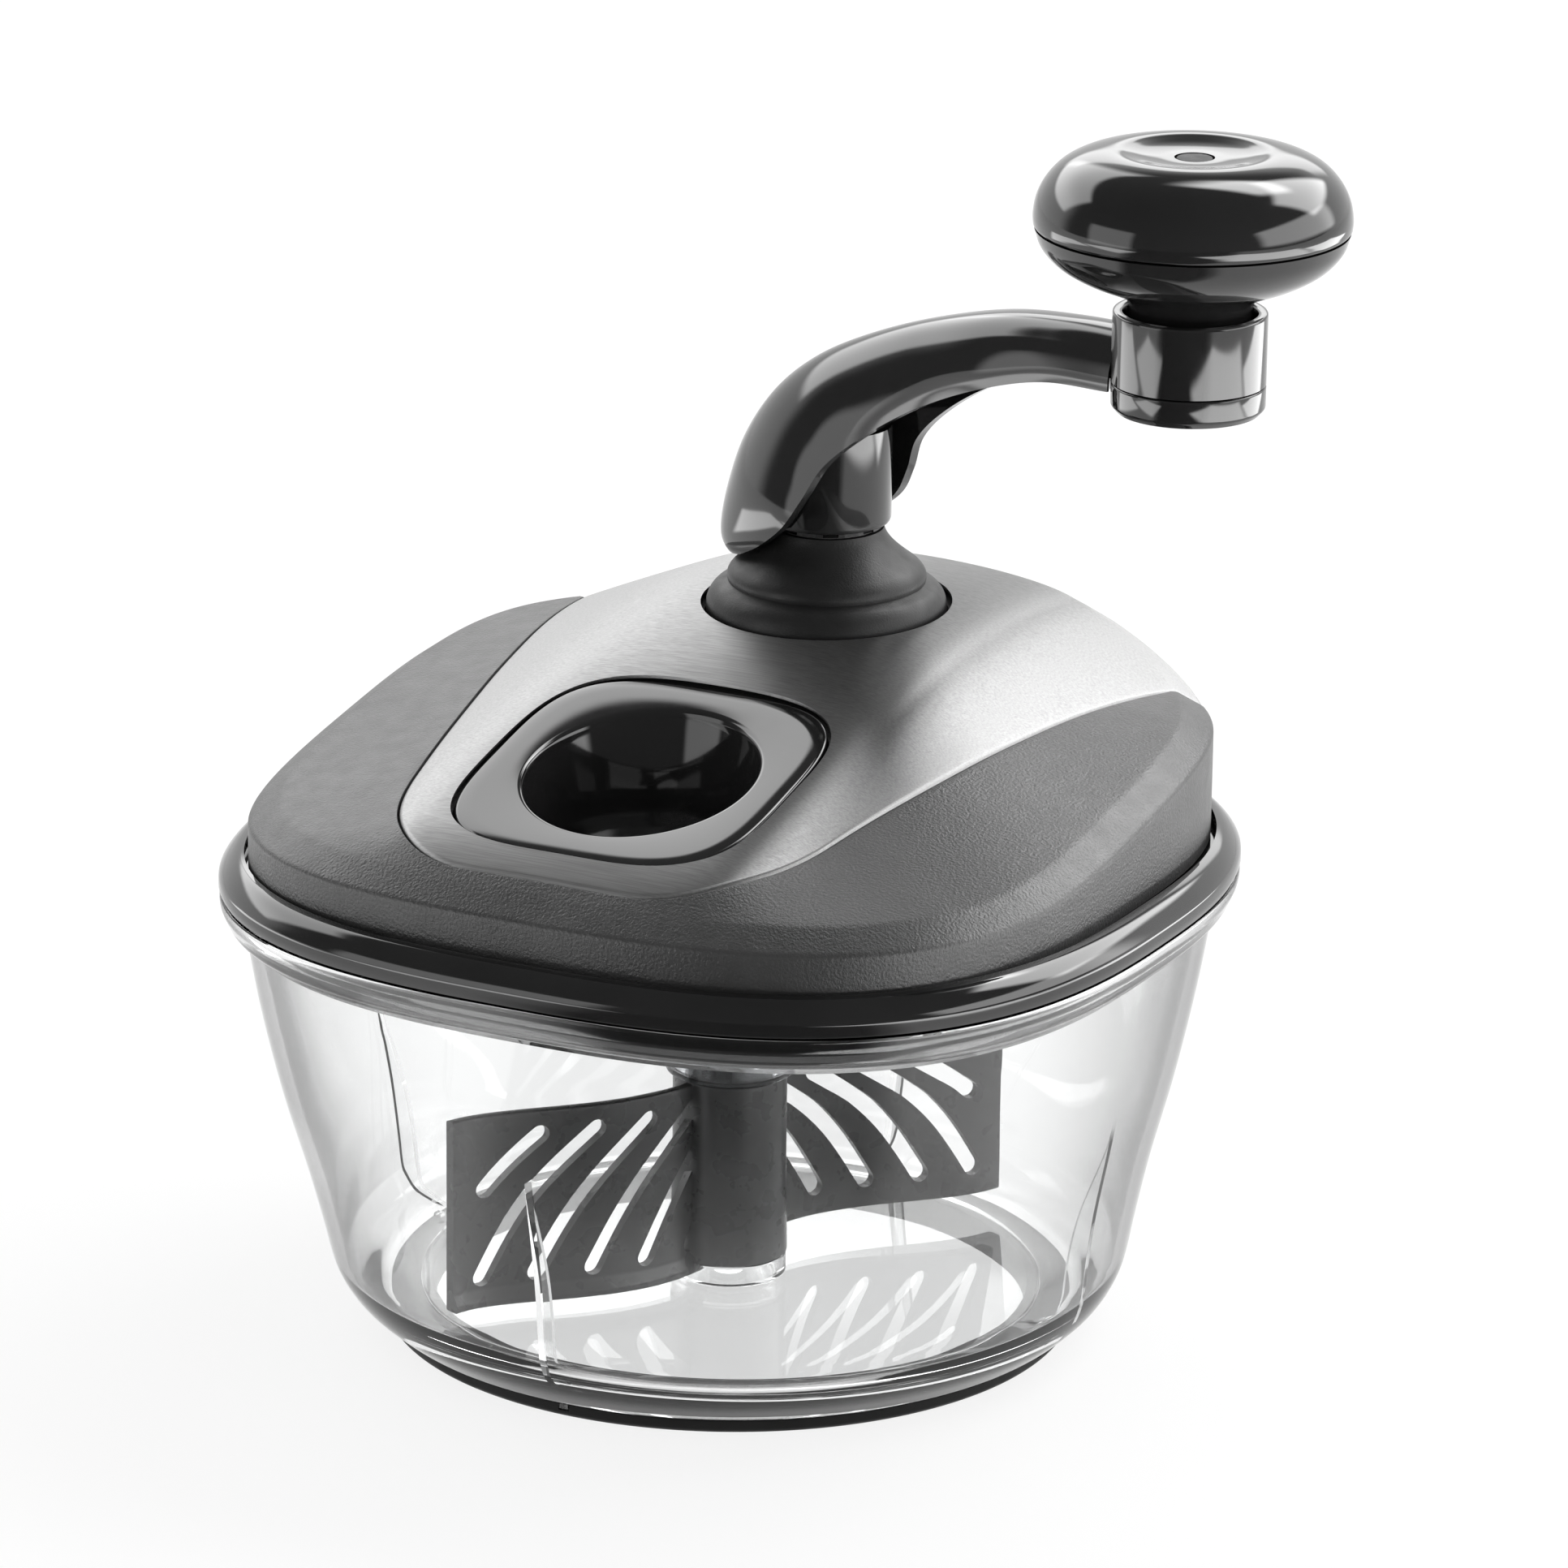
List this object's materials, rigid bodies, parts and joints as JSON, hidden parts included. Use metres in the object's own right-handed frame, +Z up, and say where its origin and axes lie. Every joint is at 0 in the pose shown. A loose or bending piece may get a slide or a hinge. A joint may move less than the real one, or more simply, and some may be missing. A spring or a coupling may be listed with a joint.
{
  "type": "hand cranked food chopper",
  "caption": "Hand cranked food chopper with a clear bowl, wavy slotted paddle, domed lid with a filler opening, and an arched crank with a round knob.",
  "frame": {"origin": "on the table under the bowl's axis, which the paddle turns about", "axes": "+Z up along the bowl's axis, -Y towards the filler opening, +Y towards the crank shaft, +X to the side that the crank leans over at rest"},
  "size_m": [0.2039, 0.1806, 0.2339],
  "materials": {
    "clear_bowl": "clear, polished",
    "rubber_ring": "satin black rubber",
    "paddle_plastic": "semi-gloss dark grey",
    "gloss_black": "polished black",
    "cover_grey": "fine grained matt charcoal",
    "brushed_plate": "brushed across the lid",
    "matt_black": "matt black",
    "smoked_plastic": "smoked, see-through",
    "gear_plastic": "natural moulded",
    "bush_bronze": "sintered, oiled",
    "plain_steel": "turned, bright"
  },
  "bodies": {
    "bowl": {"bowl": "clear_bowl", "base_ring": "rubber_ring"},
    "paddle": {"paddle": "paddle_plastic"},
    "lid": {"lid_base": "gloss_black", "lid_cover": "cover_grey", "steel_plate": "brushed_plate", "filler_funnel": "gloss_black", "bearing_tower": "matt_black", "crank_bush_lower": "bush_bronze", "crank_bush_middle": "bush_bronze", "crank_bush_upper": "bush_bronze", "spindle_bush_lower": "bush_bronze", "spindle_bush_upper": "bush_bronze", "lid_screw_1": "plain_steel", "lid_screw_2": "plain_steel", "lid_screw_3": "plain_steel", "lid_screw_4": "plain_steel", "tower_screw_1": "plain_steel", "tower_screw_2": "plain_steel", "tower_screw_3": "plain_steel"},
    "crank": {"crank_shaft": "plain_steel", "crank_gear": "gear_plastic", "crank_coupling": "matt_black", "crank_arm": "gloss_black", "column_cap": "gloss_black"},
    "knob": {"knob_lower": "gloss_black", "knob_upper": "gloss_black", "knob_plug": "matt_black", "knob_washer": "plain_steel", "knob_screw": "plain_steel"},
    "spindle": {"pinion": "gear_plastic", "drive_socket": "smoked_plastic", "socket_screw": "plain_steel"}
  },
  "joints": [
    {"name": "lid_lift", "type": "slide", "parent": "bowl", "child": "lid", "axis": [0, 0, 1], "range_m": [0, 0.12]},
    {"name": "crank_spin", "type": "hinge", "parent": "lid", "child": "crank", "pos_m": [0, 0.0375, 0.146], "axis": [0, 0, 1], "continuous": true},
    {"name": "knob_spin", "type": "hinge", "parent": "crank", "child": "knob", "pos_m": [0.08448, 0.01549, 0.204], "axis": [0, 0, 1], "continuous": true},
    {"name": "spindle_spin", "type": "hinge", "parent": "lid", "child": "spindle", "pos_m": [0, 0, 0.1], "axis": [0, 0, 1], "continuous": true},
    {"name": "paddle_spin", "type": "hinge", "parent": "bowl", "child": "paddle", "pos_m": [0, 0, 0.03], "axis": [0, 0, 1], "continuous": true}
  ],
  "couplings": [
    {"joint": "spindle_spin", "follows": "crank_spin", "ratio": -3},
    {"joint": "paddle_spin", "follows": "crank_spin", "ratio": -3}
  ]
}
